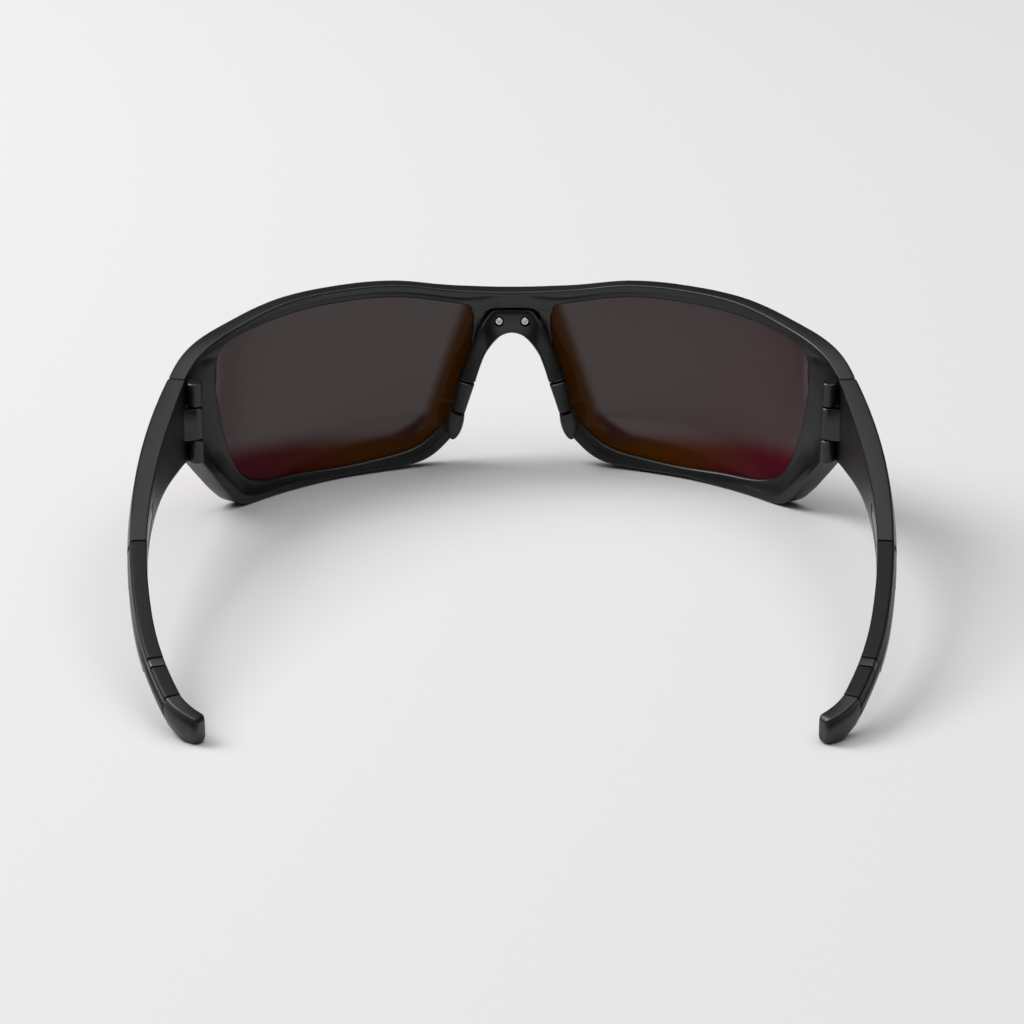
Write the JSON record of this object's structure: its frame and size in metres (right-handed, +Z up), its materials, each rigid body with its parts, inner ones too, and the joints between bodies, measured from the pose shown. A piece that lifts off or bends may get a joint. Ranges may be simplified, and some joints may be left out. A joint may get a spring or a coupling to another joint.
{
  "type": "wrap-around sunglasses",
  "caption": "Wrap-around full-rim sport sunglasses: tinted mirror-coated lenses, screwed-on saddle nosepiece with rubber pads, and temples with rubber grips that fold inward on pin hinges.",
  "frame": {"origin": "centre of the bounding box in X and Y, on the surface the glasses stand on", "axes": "+X towards the wearer's right, +Y forward through the lenses, +Z up"},
  "size_m": [0.148, 0.1586, 0.0425],
  "materials": {
    "nylon_satin_black": "injection-moulded nylon, fine satin texture, black",
    "nylon_block_black": "injection-moulded nylon, satin, black",
    "nylon_band_black": "nylon, half gloss, black",
    "nylon_tip_black": "nylon, satin, black",
    "nylon_inlay_black": "nylon, half gloss, black",
    "rubber_black": "soft co-moulded rubber, matte, black",
    "steel_screw": "plain turned stainless steel",
    "polycarbonate_mirror": "tinted polycarbonate with a red to orange mirror coat"
  },
  "bodies": {
    "front": {"frame_front": "nylon_satin_black", "nosepiece": "nylon_satin_black", "lens_left": "polycarbonate_mirror", "lens_right": "polycarbonate_mirror", "nose_block_left": "nylon_block_black", "nose_block_right": "nylon_block_black", "nose_pad_left": "rubber_black", "nose_pad_right": "rubber_black", "nose_screw_left": "steel_screw", "nose_screw_right": "steel_screw", "hinge_pin_left": "steel_screw", "hinge_pin_right": "steel_screw"},
    "temple_left": {"temple_arm_left": "nylon_satin_black", "temple_grip_left": "rubber_black", "temple_band_left": "nylon_band_black", "temple_pad_left": "rubber_black", "temple_tip_left": "nylon_tip_black", "temple_plate_left": "nylon_inlay_black", "temple_inlay_left": "nylon_inlay_black"},
    "temple_right": {"temple_arm_right": "nylon_satin_black", "temple_grip_right": "rubber_black", "temple_band_right": "nylon_band_black", "temple_pad_right": "rubber_black", "temple_tip_right": "nylon_tip_black", "temple_plate_right": "nylon_inlay_black", "temple_inlay_right": "nylon_inlay_black"}
  },
  "joints": [
    {"name": "temple_left_fold", "type": "hinge", "parent": "front", "child": "temple_left", "pos_m": [-0.0647, 0.0276, 0.0248], "axis": [0, 0, 1], "range_deg": [0, 92]},
    {"name": "temple_right_fold", "type": "hinge", "parent": "front", "child": "temple_right", "pos_m": [0.0647, 0.0276, 0.0248], "axis": [0, 0, -1], "range_deg": [0, 78]}
  ]
}
